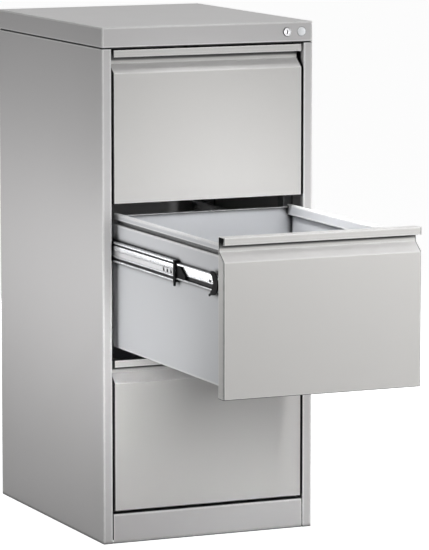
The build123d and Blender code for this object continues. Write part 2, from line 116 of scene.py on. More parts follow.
# ---------------------------------------------------------------- painted shade along gap rims and the cover seam, and weld dents
front_low, front_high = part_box("drawer_1_front")
front_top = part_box("drawer_1_grip")[1].z
front_pitch = front_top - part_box("drawer_2_grip")[1].z
seam_height = (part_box("top_cover")[0].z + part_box("left_side_panel")[1].z) / 2
lip_shade = {"Top": front_top, "Pitch": front_pitch,
             "Lip": 14.8 * mm, "From": 20.5 * mm, "To": 24.5 * mm}
# painted shade along the side and foot gaps of each front
front_gap_shade = {"Top": front_top, "Pitch": front_pitch, "Foot": front_top - front_low.z,
             "Half_Width": front_high.x, "Line": 1.5 * mm}
# painted shadow line on the carcass along the seam under the top cover
above, aside = 2.0, 1.0      # past the cabinet, so that the seam has one line and no sides
seam_shadow_line = {"Top": above, "Pitch": 5 * above, "Foot": above - seam_height,
            "Half_Width": aside, "Line": 2.1 * mm}
weld_inset = 6.5 * mm        # from the cabinet's side
weld_rows = {"Spacing": 62.0 * mm, "Radius": 3.2 * mm, "From_Middle": cad_box[1][0] - weld_inset,
             "Rear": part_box("left_side_panel")[1].y}


# ---------------------------------------------------------------- node-tree helpers
FLOAT, COLOUR = "NodeSocketFloat", "NodeSocketColor"


def add(tree, kind, **settings):
    """A node of a kind; plain settings go to its properties, sockets are set with feed()."""
    node = tree.nodes.new(kind)
    for name, value in settings.items():
        setattr(node, name, value)
    return node


def feed(tree, socket, source):
    """Puts a link or a constant on an input socket."""
    if isinstance(source, bpy.types.NodeSocket):
        tree.links.new(source, socket)
    elif source is not None:
        socket.default_value = source


def math_node(tree, operation, a, b=None, clamp=False):
    node = add(tree, "ShaderNodeMath", operation=operation, use_clamp=clamp)
    feed(tree, node.inputs[0], a)
    feed(tree, node.inputs[1], b)
    return node.outputs[0]


def plus(tree, a, b, clamp=False):
    return math_node(tree, "ADD", a, b, clamp)


def minus(tree, a, b):
    return math_node(tree, "SUBTRACT", a, b)


def times(tree, a, b, clamp=False):
    return math_node(tree, "MULTIPLY", a, b, clamp)


def swing(tree, fraction, amount):
    """Turns a fraction between 0 and 1 into a swing about nought."""
    return times(tree, minus(tree, fraction, 0.5), amount)


def noise(tree, vector, scale, detail=2.0, roughness=0.5):
    node = add(tree, "ShaderNodeTexNoise")
    feed(tree, node.inputs["Vector"], vector)
    feed(tree, node.inputs["Scale"], scale)
    feed(tree, node.inputs["Detail"], detail)
    feed(tree, node.inputs["Roughness"], roughness)
    return node.outputs["Fac"]


def remap(tree, value, low, high, to_low, to_high):
    node = add(tree, "ShaderNodeMapRange")
    for name, source in (("Value", value), ("From Min", low), ("From Max", high),
                         ("To Min", to_low), ("To Max", to_high)):
        feed(tree, node.inputs[name], source)
    return node.outputs["Result"]


def mix_colour(tree, factor, a, b):
    node = add(tree, "ShaderNodeMix", data_type="RGBA")
    feed(tree, node.inputs[0], factor)
    feed(tree, node.inputs[6], a)
    feed(tree, node.inputs[7], b)
    return node.outputs[2]


def scaled_colour(tree, colour, tone):
    node = add(tree, "ShaderNodeVectorMath", operation="SCALE")
    feed(tree, node.inputs[0], colour)
    feed(tree, node.inputs["Scale"], tone)
    return node.outputs["Vector"]


def object_place(tree):
    return add(tree, "ShaderNodeTexCoord").outputs["Object"]


def face_normal(tree):
    return add(tree, "ShaderNodeNewGeometry").outputs["Normal"]


def axes(tree, vector):
    """The X, Y and Z of a vector."""
    split = add(tree, "ShaderNodeSeparateXYZ")
    feed(tree, split.inputs[0], vector)
    return split.outputs


def new_group(name, inputs, outputs):
    """A shader node group with named sockets: {name: (socket type, default)}."""
    tree = bpy.data.node_groups.new(name, "ShaderNodeTree")
    for label, (kind, default) in inputs.items():
        socket = tree.interface.new_socket(label, in_out="INPUT", socket_type=kind)
        socket.default_value = default
    for label, kind in outputs.items():
        tree.interface.new_socket(label, in_out="OUTPUT", socket_type=kind)
    return tree, add(tree, "NodeGroupInput").outputs, add(tree, "NodeGroupOutput").inputs


def use_group(tree, group, **values):
    """Places a group in a material; underscores in a name stand for spaces."""
    node = add(tree, "ShaderNodeGroup", node_tree=group)
    for name, value in values.items():
        feed(tree, node.inputs[name.replace("_", " ")], value)
    return node.outputs


# ---------------------------------------------------------------- shared surface effects
def powder_coat_group():
    """Powder coat: orange peel, fine metallic flake and slow drifts of tone and sheen."""
    tree, given, result = new_group(
        "powder_coat",
        {
            "Colour": (COLOUR, (0.6, 0.6, 0.6, 1)),
            "Flake": (FLOAT, 0.05),
            "Drift": (FLOAT, 0.03),
            "Base Roughness": (FLOAT, 0.4),
            "Sheen Drift": (FLOAT, 0.12),
        },
        {"Colour": COLOUR, "Roughness": FLOAT, "Height": FLOAT},
    )
    place = object_place(tree)
    peel = noise(tree, place, scale=420.0, detail=2.0, roughness=0.45)
    flake = noise(tree, place, scale=2600.0, detail=0.0)
    cloud = noise(tree, place, scale=3.1, detail=3.0, roughness=0.55)
    lift = swing(tree, flake, given["Flake"])
    drift = swing(tree, cloud, given["Drift"])
    tone = plus(tree, plus(tree, lift, drift), 1.0)
    sheen = swing(tree, cloud, given["Sheen Drift"])
    feed(tree, result["Colour"], scaled_colour(tree, given["Colour"], tone))
    feed(tree, result["Roughness"], plus(tree, given["Base Roughness"], sheen))
    feed(tree, result["Height"], peel)
    return tree


def sheet_grain_group():
    """Rolled or drawn metal: fine lines along one axis, with duller and brighter streaks."""
    tree, given, result = new_group(
        "sheet_grain",
        {
            "Colour": (COLOUR, (0.7, 0.7, 0.7, 1)),
            "Stretch": ("NodeSocketVector", (900, 14, 900)),
            "Contrast": (FLOAT, 0.12),
            "Base Roughness": (FLOAT, 0.3),
            "Sheen Contrast": (FLOAT, 0.3),
        },
        {"Colour": COLOUR, "Roughness": FLOAT, "Height": FLOAT},
    )
    place = object_place(tree)
    along = add(tree, "ShaderNodeVectorMath", operation="MULTIPLY")
    feed(tree, along.inputs[0], place)
    feed(tree, along.inputs[1], given["Stretch"])
    line = noise(tree, along.outputs["Vector"], scale=1.0, detail=3.0, roughness=0.6)
    bloom = noise(tree, place, scale=38.0)
    line_share = 0.6
    both = plus(tree, times(tree, line, line_share), times(tree, bloom, 1 - line_share))
    tone = plus(tree, 1.0, swing(tree, both, given["Contrast"]))
    sheen = swing(tree, both, given["Sheen Contrast"])
    feed(tree, result["Colour"], scaled_colour(tree, given["Colour"], tone))
    feed(tree, result["Roughness"], plus(tree, given["Base Roughness"], sheen, clamp=True))
    feed(tree, result["Height"], line)
    return tree


def weld_marks_group():
    """Round spot-weld dents down both rear returns of the carcass."""
    tree, given, result = new_group(
        "weld_marks",
        {
            "Spacing": (FLOAT, 0.06),
            "Radius": (FLOAT, 0.003),
            "From Middle": (FLOAT, 0.2),
            "Rear": (FLOAT, 0.29),
        },
        {"Height": FLOAT},
    )
    x, y, z = axes(tree, object_place(tree))
    off = minus(tree, math_node(tree, "ABSOLUTE", x), given["From Middle"])
    step = minus(tree, math_node(tree, "FLOORED_MODULO", z, given["Spacing"]),
                 times(tree, given["Spacing"], 0.5))
    squares = [math_node(tree, "POWER", side, 2.0) for side in (off, step)]
    away = math_node(tree, "SQRT", plus(tree, *squares))
    flat_bottom = times(tree, given["Radius"], 0.55)
    dent = remap(tree, away, given["Radius"], flat_bottom, 0.0, 1.0)
    rear = math_node(tree, "GREATER_THAN", y, minus(tree, given["Rear"], mm))
    feed(tree, result["Height"], times(tree, dent, times(tree, rear, -1.0)))
    return tree


def crevice_shade_group():
    """Painted shade in narrow gaps and at the roots of folds, where little light reaches: 1 deep
    inside.
    """
    tree, given, result = new_group(
        "crevice_mask",
        {
            "Reach": (FLOAT, 0.010),
            "Onset": (FLOAT, 0.8),
            "Full": (FLOAT, 0.45),
            "Amount": (FLOAT, 0.9),
        },
        {"Mask": FLOAT},
    )
    open_sky = add(tree, "ShaderNodeAmbientOcclusion", samples=8)
    feed(tree, open_sky.inputs["Distance"], given["Reach"])
    shade = remap(tree, open_sky.outputs["AO"], given["Onset"], given["Full"], 0.0, 1.0)
    feed(tree, result["Mask"], times(tree, shade, given["Amount"], clamp=True))
    return tree


def upward_light_group():
    """Painted light on faces that look upwards, pale in soft patches."""
    tree, given, result = new_group("settled_dust", {"Amount": (FLOAT, 0.5)}, {"Mask": FLOAT})
    level = remap(tree, axes(tree, face_normal(tree))["Z"], 0.15, 0.6, 0.0, 1.0)
    cloud = noise(tree, object_place(tree), scale=18.0, detail=4.0, roughness=0.6)
    patches = remap(tree, cloud, 0.3, 0.7, 0.8, 1.0)
    lying = times(tree, level, patches)
    feed(tree, result["Mask"], times(tree, lying, given["Amount"], clamp=True))
    return tree


def under_lip_group():
    """Shade of a grip lip: on the band of the front just below it and in the hollow behind it."""
    tree, given, result = new_group(
        "under_lip",
        {
            "Top": (FLOAT, 1.0),
            "Pitch": (FLOAT, 0.3),
            "Lip": (FLOAT, 0.015),
            "From": (FLOAT, 0.02),
            "To": (FLOAT, 0.03),
            "Hollow": (FLOAT, 1.0),
        },
        {"Mask": FLOAT},
    )
    drop = minus(tree, given["Top"], axes(tree, object_place(tree))["Z"])
    below = math_node(tree, "FLOORED_MODULO", drop, given["Pitch"])
    forward = math_node(tree, "LESS_THAN", axes(tree, face_normal(tree))["Y"], -0.5)
    past_lip = math_node(tree, "GREATER_THAN", below, given["Lip"])
    fading = remap(tree, below, given["From"], given["To"], 1.0, 0.0)
    band = times(tree, past_lip, times(tree, fading, forward))
    under = times(tree, band, given["Hollow"])
    deep = remap(tree, given["Hollow"], 0.6, 1.0, 0.0, 1.0)
    behind = times(tree, deep, minus(tree, 1.0, past_lip))
    feed(tree, result["Mask"], math_node(tree, "MAXIMUM", under, behind))
    return tree


def gap_shade_outline_group():
    """Painted shade along the rim of a gap: at a depth below a top edge, again at every pitch, and
    at both sides.
    """
    tree, given, result = new_group(
        "gap_outline",
        {
            "Top": (FLOAT, 1.0),
            "Pitch": (FLOAT, 0.3),
            "Foot": (FLOAT, 0.3),
            "Half Width": (FLOAT, 0.2),
            "Line": (FLOAT, 0.001),
        },
        {"Mask": FLOAT},
    )
    place = axes(tree, object_place(tree))
    forward = math_node(tree, "LESS_THAN", axes(tree, face_normal(tree))["Y"], -0.3)
    drop = minus(tree, given["Top"], place["Z"])
    below = math_node(tree, "FLOORED_MODULO", drop, given["Pitch"])
    from_middle = math_node(tree, "ABSOLUTE", place["X"])
    solid = times(tree, given["Line"], 0.7)
    rims = []
    for distance, rim in ((below, given["Foot"]), (from_middle, given["Half Width"])):
        away = math_node(tree, "ABSOLUTE", minus(tree, distance, rim))
        rims.append(remap(tree, away, solid, given["Line"], 1.0, 0.0))
    beside = times(tree, rims[1], forward)
    feed(tree, result["Mask"], math_node(tree, "MAXIMUM", rims[0], beside))
    return tree


def edge_highlight_group():
    """Painted highlight where a sheet turns over a fold or ends: 1 on the edge, 0 on the flat."""
    tree, given, result = new_group(
        "edge_mask",
        {
            "Radius": (FLOAT, 0.001),
            "Amount": (FLOAT, 1.0),
            "Patchiness": (FLOAT, 0.25),
        },
        {"Mask": FLOAT},
    )
    rounded = add(tree, "ShaderNodeBevel", samples=6)
    feed(tree, rounded.inputs["Radius"], given["Radius"])
    likeness = add(tree, "ShaderNodeVectorMath", operation="DOT_PRODUCT")
    feed(tree, likeness.inputs[0], rounded.outputs["Normal"])
    feed(tree, likeness.inputs[1], face_normal(tree))
    edge = remap(tree, likeness.outputs["Value"], 0.998, 0.95, 0.0, 1.0)
    cloud = noise(tree, object_place(tree), scale=55.0, detail=3.0, roughness=0.6)
    patches = remap(tree, cloud, 0.35, 0.65, 0.0, 1.0)
    kept = minus(tree, 1.0, times(tree, patches, given["Patchiness"]))
    strength = times(tree, kept, given["Amount"])
    feed(tree, result["Mask"], times(tree, edge, strength, clamp=True))
    return tree


powder_coat = powder_coat_group()
sheet_grain = sheet_grain_group()
edge_mask = edge_highlight_group()
crevice_mask = crevice_shade_group()
settled_dust = upward_light_group()
weld_marks = weld_marks_group()
under_lip = under_lip_group()
gap_outline = gap_shade_outline_group()


# ---------------------------------------------------------------- materials
# pale tint of the painted light on faces that look upwards
upward_light_tint = (0.95, 0.94, 0.93, 1)
# pale tint of the painted highlight along folds and cut edges
highlight_tint = (0.93, 0.93, 0.92, 1)
# near-black tint of the painted shade in recesses and under the grip lips
recess_shade_tint = (0.03, 0.03, 0.03, 1)
# near-black tint of the painted shade in gaps
gap_shade_tint = (0.008, 0.008, 0.009, 1)
# near-black tint of the painted shade in the recesses of bare metal
zinc_shade_tint = (0.02, 0.02, 0.02, 1)
# inputs of the painted highlight along folds and edges of painted sheet
paint_edge_highlight = {"Radius": 5.0 * mm, "Amount": 0.9}
# inputs of the painted shade in narrow gaps
paint_gap_shade = {"Onset": 0.86, "Full": 0.5, "Amount": 0.97}


def new_material(name):
    """An empty node material and its Principled BSDF."""
    material = bpy.data.materials.new(name)
    material.use_nodes = True
    tree = material.node_tree
    tree.nodes.clear()
    shader = add(tree, "ShaderNodeBsdfPrincipled")
    output = add(tree, "ShaderNodeOutputMaterial")
    tree.links.new(shader.outputs["BSDF"], output.inputs["Surface"])
    return material, tree, shader


def bumped(tree, normal, height, strength, distance):
    """A normal with a bump on it."""
    bump = add(tree, "ShaderNodeBump")
    for name, source in (("Strength", strength), ("Distance", distance), ("Height", height),
                         ("Normal", normal)):
        feed(tree, bump.inputs[name], source)
    return bump.outputs["Normal"]


def soften(tree, shader, height, strength, distance, fold, dents=None):
    """Rounds the sheet's cut edges a little and adds the bump of its surface, and any dents."""
    edge = add(tree, "ShaderNodeBevel", samples=4)
    feed(tree, edge.inputs["Radius"], fold)
    normal = bumped(tree, edge.outputs["Normal"], height, strength, distance)
    if dents is not None:
        normal = bumped(tree, normal, dents, strength=0.8, distance=0.5 * mm)
    feed(tree, shader.inputs["Normal"], normal)


def paint(name, colour, roughness, upward_light_amount=0.0, edge=paint_edge_highlight, recess=None, gap=paint_gap_shade,
          lips=None, rim=None, welds=None):
    """Satin powder coat, with painted highlights along folds and cut edges, painted light on upward
    faces, and painted shade in gaps and recesses.

    edge, recess, gap, lips, rim and welds hold the inputs of their groups; None leaves one out.
    """
    material, tree, shader = new_material(name)
    coat = use_group(tree, powder_coat, Colour=(*colour, 1), Base_Roughness=roughness)
    layers = []
    # painted light on faces that look upwards
    if upward_light_amount:
        layers.append((use_group(tree, settled_dust, Amount=upward_light_amount)["Mask"], upward_light_tint))
    # painted highlight along folds and cut edges
    if edge:
        layers.append((use_group(tree, edge_mask, **edge)["Mask"], highlight_tint))
    # painted shade in recesses and, on the fronts, under the grip lips
    if recess:
        hollow = use_group(tree, crevice_mask, **recess)["Mask"]
        if lips:
            hollow = use_group(tree, under_lip, Hollow=hollow, **lips)["Mask"]
        layers.append((hollow, recess_shade_tint))
    # painted shade in narrow gaps, and along gap rims where given
    narrow = use_group(tree, crevice_mask, **gap)["Mask"]
    if rim:
        narrow = math_node(tree, "MAXIMUM", narrow, use_group(tree, gap_outline, **rim)["Mask"])
    layers.append((narrow, gap_shade_tint))
    look = coat["Colour"]
    for mask, tint in layers:
        look = mix_colour(tree, mask, look, tint)
    feed(tree, shader.inputs["Base Color"], look)
    feed(tree, shader.inputs["Roughness"], coat["Roughness"])
    feed(tree, shader.inputs["Specular IOR Level"], 0.3)
    dents = use_group(tree, weld_marks, **welds)["Height"] if welds else None
    soften(tree, shader, coat["Height"], 0.10, 0.2 * mm, 0.8 * mm, dents)
    return material


def zinc(name, colour, roughness, stretch=(900, 14, 900), contrast=0.12, reach=4.0 * mm):
    """Bare or plated metal with a drawn grain, and painted shade in its recesses."""
    material, tree, shader = new_material(name)
    grain = use_group(tree, sheet_grain, Colour=(*colour, 1), Stretch=stretch,
                      Contrast=contrast, Base_Roughness=roughness)
    # painted shade in the recesses
    zinc_shade = use_group(tree, crevice_mask, Reach=reach)["Mask"]
    feed(tree, shader.inputs["Base Color"], mix_colour(tree, zinc_shade, grain["Colour"], zinc_shade_tint))
    feed(tree, shader.inputs["Roughness"], grain["Roughness"])
    feed(tree, shader.inputs["Metallic"], 1.0)
    soften(tree, shader, grain["Height"], 0.08, 0.1 * mm, 0.4 * mm)
    return material


def moulding(name, colour, roughness):
    """Black moulded nylon with a fine spark-eroded grain."""
    material, tree, shader = new_material(name)
    place = object_place(tree)
    grain = noise(tree, place, scale=1500.0, roughness=0.6)
    cloud = noise(tree, place, scale=60.0)
    darker, sheen_drift = 0.7, 0.06
    dark = tuple(c * darker for c in colour)
    feed(tree, shader.inputs["Base Color"], mix_colour(tree, cloud, (*dark, 1), (*colour, 1)))
    feed(tree, shader.inputs["Roughness"],
         remap(tree, cloud, 0.3, 0.7, roughness - sheen_drift, roughness + sheen_drift))
    feed(tree, shader.inputs["Specular IOR Level"], 0.08)
    soften(tree, shader, grain, 0.25, 0.1 * mm, 0.4 * mm)
    return material


materials = {
    # the carcass takes the painted shadow line under the cover
    "carcass_paint": paint("silver_grey_carcass", (0.60, 0.59, 0.59), 0.40, upward_light_amount=0.25,
                           rim=seam_shadow_line, welds=weld_rows),
    # the fronts take painted light on upward faces, strongest on their bevels
    "front_paint": paint("silver_grey_fronts", (0.63, 0.62, 0.605), 0.42, upward_light_amount=1.0,
                         edge={"Radius": 3.6 * mm, "Amount": 0.8},
                         # painted shade in the grip recesses and under the lips
                         recess={"Reach": 0.04, "Onset": 0.92, "Full": 0.75, "Amount": 1.0},
                         gap={**paint_gap_shade, "Onset": 0.70, "Full": 0.42},
                         lips=lip_shade, rim=front_gap_shade),
    "drawer_paint": paint("silver_grey_drawers", (0.65, 0.66, 0.68), 0.52,
                          # painted shade in the drawers' recesses
                          recess={"Reach": 0.018, "Onset": 0.85, "Full": 0.5, "Amount": 0.85}),
    # near black, so that inside parts seen through the gaps read as deep shade: painted shade
    "inner_paint": paint("dark_inside_paint", (0.05, 0.05, 0.05), 0.6, edge=None,
                         gap={**paint_gap_shade, "Amount": 0.8}),
    "zinc_frame": zinc("zinc_sheet", (0.42, 0.43, 0.44), 0.45, (300, 300, 12)),
    "slide_zinc": zinc("bright_zinc_slide", (0.72, 0.73, 0.75), 0.26, reach=8.0 * mm),
    "black_moulding": moulding("black_nylon", (0.007, 0.007, 0.008), 0.60),
    "chrome": zinc("bright_nickel", (0.60, 0.60, 0.61), 0.36, (60, 900, 60), 0.06),
    "disc": zinc("pale_satin_disc", (0.46, 0.47, 0.48), 0.5, (60, 900, 60), 0.06),
}
slot_of = {part["node"]: part["material_slot"] for part in frame["record"]["subparts"]}
for name, node in nodes.items():
    node.data.materials.clear()
    node.data.materials.append(materials[slot_of[name]])


# ---------------------------------------------------------------- materials of the slides and lock
# near black: grease in the races, and painted shade on the web below the drawer member's land
greased_race = zinc("greased_race", (0.012, 0.012, 0.013), 0.45, (700, 10, 700), 0.3)
# a darker copy of the slide zinc: painted shade on the sunk band
sunk_band = zinc("sunk_band", (0.46, 0.46, 0.47), 0.42)
ball_steel = zinc("ball_steel", (0.62, 0.62, 0.63), 0.16, (60, 60, 60), 0.05)
cage_steel = zinc("cage_steel", (0.50, 0.49, 0.46), 0.35, (500, 20, 500), 0.2)
# near black: painted shade on the side wall of the bezel's rim and in its bore
nickel_wall = zinc("nickel_wall", (0.05, 0.05, 0.055), 0.36, (60, 900, 60), 0.1)


# ---------------------------------------------------------------- mesh helpers
def rounded_path(corners):
    """Points of a folded line through corners (across, up, radius of the bend)."""
    flat = [Vector(corner[:2]) for corner in corners]
    path = [flat[0]]
    for i in range(1, len(flat) - 1):
        radius = corners[i][2]
        back, on = flat[i - 1] - flat[i], flat[i + 1] - flat[i]
        if radius == 0:
            path.append(flat[i])
            continue
        reach = radius / math.tan(back.angle(on) / 2)
        reach = min(reach, bend_share * back.length, bend_share * on.length)
        start, end = flat[i] + back.normalized() * reach, flat[i] + on.normalized() * reach
        for k in range(bend_steps + 1):
            t = k / bend_steps
            path.append(start * (1 - t) ** 2 + flat[i] * 2 * t * (1 - t) + end * t ** 2)
    path.append(flat[-1])
    return path


def link(name, data, *finishes):
    """A linked object with its materials."""
    piece = bpy.data.objects.new(name, data)
    bpy.context.scene.collection.objects.link(piece)
    for finish in finishes:
        data.materials.append(finish)
    return piece


def mesh_of(name, build):
    """A mesh from a finished bmesh."""
    mesh = bpy.data.meshes.new(name)
    build.to_mesh(mesh)
    build.free()
    return mesh


def plain(piece, sharp=40.0):
    """Applies the modifiers, so that a plain mesh is left, smooth over its bends."""
    graph = bpy.context.evaluated_depsgraph_get()
    mesh = bpy.data.meshes.new_from_object(piece.evaluated_get(graph), depsgraph=graph)
    piece.modifiers.clear()
    piece.data = mesh
    mesh.shade_smooth()
    mesh.set_sharp_from_angle(angle=math.radians(sharp))
    return piece


def in_span(value, span):
    return span[0] < value < span[1]


def around(middle, size):
    """The span of a size around a middle."""
    return middle - size / 2, middle + size / 2


def rolled_member(name, path, front, back, openings, finish_of, finishes, sheet):
    """A rolled section run from front to back, with punched openings, given its sheet thickness.

    path holds (x, z) points of the sheet's half-way line; an opening holds its y, z and x spans.
    """
    stops = sorted({front, back, *(y for spans in openings for y in spans[0])})
    build = bmesh.new()
    rows = [[build.verts.new((p[0], y, p[1])) for p in path] for y in stops]
    for row, following in zip(rows, rows[1:]):
        for i in range(len(path) - 1):
            corners = (row[i], row[i + 1], following[i + 1], following[i])
            middle = sum((corner.co for corner in corners), Vector()) / 4
            if any(in_span(middle.y, ys) and in_span(middle.z, zs) and in_span(middle.x, xs)
                   for ys, zs, xs in openings):
                continue
            build.faces.new(corners).material_index = finish_of(middle)
    piece = link(name, mesh_of(name, build), *finishes)
    shell = piece.modifiers.new("sheet", "SOLIDIFY")
    shell.thickness = sheet
    shell.offset = 0.0
    shell.use_even_offset = True
    return plain(piece)


def turned(name, profile, centre, finishes, finish_of=lambda radius: 0):
    """A lathe-turned piece about a line from front to back: profile holds (radius, y) points."""
    segments = 72
    build = bmesh.new()
    rings = []
    for radius, y in profile:
        count = segments if radius > 0 else 1
        rings.append([build.verts.new((
            centre[0] + radius * math.cos(2 * math.pi * k / segments), y,
            centre[1] + radius * math.sin(2 * math.pi * k / segments))) for k in range(count)])
    steps = list(zip(rings, rings[1:], profile, profile[1:]))
    if profile[0][0] > 0:
        steps.append((rings[-1], rings[0], profile[-1], profile[0]))
    for ring, other, here, there in steps:
        for k in range(segments):
            n = (k + 1) % segments
            corners = (ring[k % len(ring)], ring[n % len(ring)],
                       other[n % len(other)], other[k % len(other)])
            face = build.faces.new(list(dict.fromkeys(corners)))
            face.material_index = finish_of((here[0] + there[0]) / 2)
    bmesh.ops.recalc_face_normals(build, faces=build.faces)
    return plain(link(name, mesh_of(name, build), *finishes), 30.0)


# ---------------------------------------------------------------- slide members
middle_low, middle_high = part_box("slide_1_middle_left")
drawer_low, drawer_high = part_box("slide_1_inner_left")
middle_half, middle_width = (middle_high.z - middle_low.z) / 2, middle_high.x - middle_low.x
drawer_half, drawer_width = (drawer_high.z - drawer_low.z) / 2, drawer_high.x - drawer_low.x


def member_frame(node, web_low):
    """Edges of a slide member: front, back, axis height, and a function from depth to x."""
    low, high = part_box(node)
    axis = (low.z + high.z) / 2
    if web_low:
        return low.y, high.y, axis, lambda depth: low.x + depth
    return low.y, high.y, axis, lambda depth: high.x - depth


def web_span(across):
    """The span in x that holds a member's web with its grooves, but not its flanges."""
    return sorted((across(-mm), across(3 * slide_sheet)))


def middle_section():
    """Half-way line of the middle member's sheet: (depth from its web, height, bend)."""
    t = slide_sheet / 2
    h, edge = middle_half, middle_width
    corners = [(edge - t, h - curl, 0), (edge - t, h - t, member_bend), (t, h - t, member_bend)]
    for sign, order, width in ((1, 1, race_width), (-1, -1, low_race_width)):
        groove = [(t, h - race_from), (t + race_depth, h - race_from - slant),
                  (t + race_depth, h - race_from - width + slant),
                  (t, h - race_from - width)]
        corners += [(depth, sign * z, small_bend) for depth, z in groove[::order]]
        if sign == 1:
            corners += [(t, step_top, small_bend), (t + step_depth, step_top - slant, small_bend),
                        (t + step_depth, -hole_drop + hole_size[1] / 2, 0),
                        (t + step_depth, -hole_drop - hole_size[1] / 2, 0),
                        (t + step_depth, step_foot + slant, small_bend), (t, step_foot, small_bend)]
    corners += [(t, t - h, member_bend), (edge - t, t - h, member_bend), (edge - t, curl - h, 0)]
    return corners


def drawer_section():
    """Half-way line of the drawer member's sheet, with its raised land."""
    t = slide_sheet / 2
    h, edge = drawer_half, drawer_width
    return [(edge - t, h - curl, 0), (edge - t, h - t, member_bend), (t, h - t, member_bend),
            (t, land_top + land_rise, small_bend), (t + land_rise, land_top, small_bend),
            (t + land_rise, stop_slot[2] / 2, 0), (t + land_rise, -stop_slot[2] / 2, 0),
            (t + land_rise, land_foot, small_bend), (t, land_foot - land_rise, small_bend),
            (t, t - h, member_bend), (edge - t, t - h, member_bend), (edge - t, curl - h, 0)]


def middle_member(i, side):
    """Middle member of one slide side: races painted dark as grease and shade, and a sunk band in
    painted shade with punched holes.
    """
    node = f"slide_{i}_middle_{side}"
    front, back, axis, across = member_frame(node, side == "left")
    path = [(across(depth), axis + z) for depth, z in rounded_path(middle_section())]
    web = web_span(across)
    length, height = hole_size
    openings = [(around(front + place, length), around(axis - hole_drop, height), web)
                for place in hole_places]

    def finish_of(middle):
        near_web = in_span(middle.x, web)
        width = race_width if middle.z > axis else low_race_width
        groove = (middle_half - race_from - width, middle_half - race_from)
        if near_web and in_span(abs(middle.z - axis), groove):
            return 1
        return 2 if near_web and in_span(middle.z - axis, (step_foot, step_top)) else 0

    piece = rolled_member(f"{node}_rolled", path, front, back, openings, finish_of,
                          (materials["slide_zinc"], greased_race, sunk_band), slide_sheet)
    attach(piece, f"{node}_body")
    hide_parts(node)


def drawer_member(i, side):
    """Drawer member of one slide side: a raised land with its stop slot, and below it a web painted
    dark as grease and shade.
    """
    node = f"slide_{i}_inner_{side}"
    front, back, axis, across = member_frame(node, side == "right")
    path = [(across(depth), axis + z) for depth, z in rounded_path(drawer_section())]
    web = web_span(across)
    start, length, height = stop_slot
    openings = [((front + start, front + start + length), around(axis, height), web)]

    def finish_of(middle):
        # the web below the land takes the dark grease and painted shade
        below = (curl - drawer_half - mm, land_foot)
        return 1 if in_span(middle.x, web) and in_span(middle.z - axis, below) else 0

    piece = rolled_member(f"{node}_rolled", path, front, back, openings, finish_of,
                          (materials["slide_zinc"], greased_race), slide_sheet)
    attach(piece, f"drawer_{i}")
    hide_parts(node)


# ---------------------------------------------------------------- ball cages
def ball_rows_tree():
    """Rows of balls above and below a slide's axis, between each pair of members."""
    tree = bpy.data.node_groups.new("ball_rows", "GeometryNodeTree")
    tree.interface.new_socket("Geometry", in_out="OUTPUT", socket_type="NodeSocketGeometry")
    kinds = {"Radius": FLOAT, "Spacing": FLOAT, "Material": "NodeSocketMaterial"}
    for row in ("Cabinet Side", "Drawer Side"):
        kinds.update({f"{row} Balls": "NodeSocketInt", f"{row} First Ball": "NodeSocketVector",
                      f"{row} Height": FLOAT})
    for label, kind in kinds.items():
        tree.interface.new_socket(label, in_out="INPUT", socket_type=kind)
    given = add(tree, "NodeGroupInput").outputs
    ball = add(tree, "GeometryNodeMeshUVSphere")
    ball.inputs["Segments"].default_value = 12
    ball.inputs["Rings"].default_value = 8
    feed(tree, ball.inputs["Radius"], given["Radius"])
    smooth = add(tree, "GeometryNodeSetShadeSmooth")
    feed(tree, smooth.inputs["Geometry"], ball.outputs["Mesh"])
    step = add(tree, "ShaderNodeCombineXYZ")
    feed(tree, step.inputs["Y"], given["Spacing"])
    rows = add(tree, "GeometryNodeJoinGeometry")
    for row in ("Cabinet Side", "Drawer Side"):
        line = add(tree, "GeometryNodeMeshLine")
        feed(tree, line.inputs["Count"], given[f"{row} Balls"])
        feed(tree, line.inputs["Start Location"], given[f"{row} First Ball"])
        feed(tree, line.inputs["Offset"], step.outputs["Vector"])
        for sign in (1.0, -1.0):
            lift = add(tree, "ShaderNodeCombineXYZ")
            feed(tree, lift.inputs["Z"], times(tree, given[f"{row} Height"], sign))
            place = add(tree, "GeometryNodeTransform")
            feed(tree, place.inputs["Geometry"], line.outputs["Mesh"])
            feed(tree, place.inputs["Translation"], lift.outputs["Vector"])
            feed(tree, rows.inputs["Geometry"], place.outputs["Geometry"])
    balls = add(tree, "GeometryNodeInstanceOnPoints")
    feed(tree, balls.inputs["Points"], rows.outputs["Geometry"])
    feed(tree, balls.inputs["Instance"], smooth.outputs["Geometry"])
    real = add(tree, "GeometryNodeRealizeInstances")
    feed(tree, real.inputs["Geometry"], balls.outputs["Instances"])
    painted = add(tree, "GeometryNodeSetMaterial")
    feed(tree, painted.inputs["Geometry"], real.outputs["Geometry"])
    feed(tree, painted.inputs["Material"], given["Material"])
    feed(tree, add(tree, "NodeGroupOutput").inputs[0], painted.outputs["Geometry"])
    return tree


ball_rows = ball_rows_tree()


def grown(name, tree, **values):
    """A plain mesh piece made by a geometry-nodes tree with the given inputs."""
    piece = link(name, bpy.data.meshes.new(name))
    rule = piece.modifiers.new("rule", "NODES")
    rule.node_group = tree
    for socket in tree.interface.items_tree:
        if socket.in_out == "INPUT" and socket.name.replace(" ", "_") in values:
            rule[socket.identifier] = values[socket.name.replace(" ", "_")]
    return plain(piece, 60.0)


def cage_strip(name, centre, z, first, count):
    """A strip with turned-down edges and a window for each of its balls."""
    half, window = cage_width / 2, ball_radius + ball_play
    path = rounded_path([
        (centre - half, z - cage_lip, 0), (centre - half + cage_lip, z, cage_lip),
        (centre - window, z, 0), (centre + window, z, 0),
        (centre + half - cage_lip, z, cage_lip), (centre + half, z - cage_lip, 0)])
    windows = [(around(first + k * ball_spacing, 2 * window), (z - mm, z + mm),
                around(centre, 2 * window)) for k in range(count)]
    last = first + (count - 1) * ball_spacing
    return rolled_member(name, path, first - cage_end, last + cage_end, windows,
                         lambda middle: 0, (cage_steel,), cage_sheet)


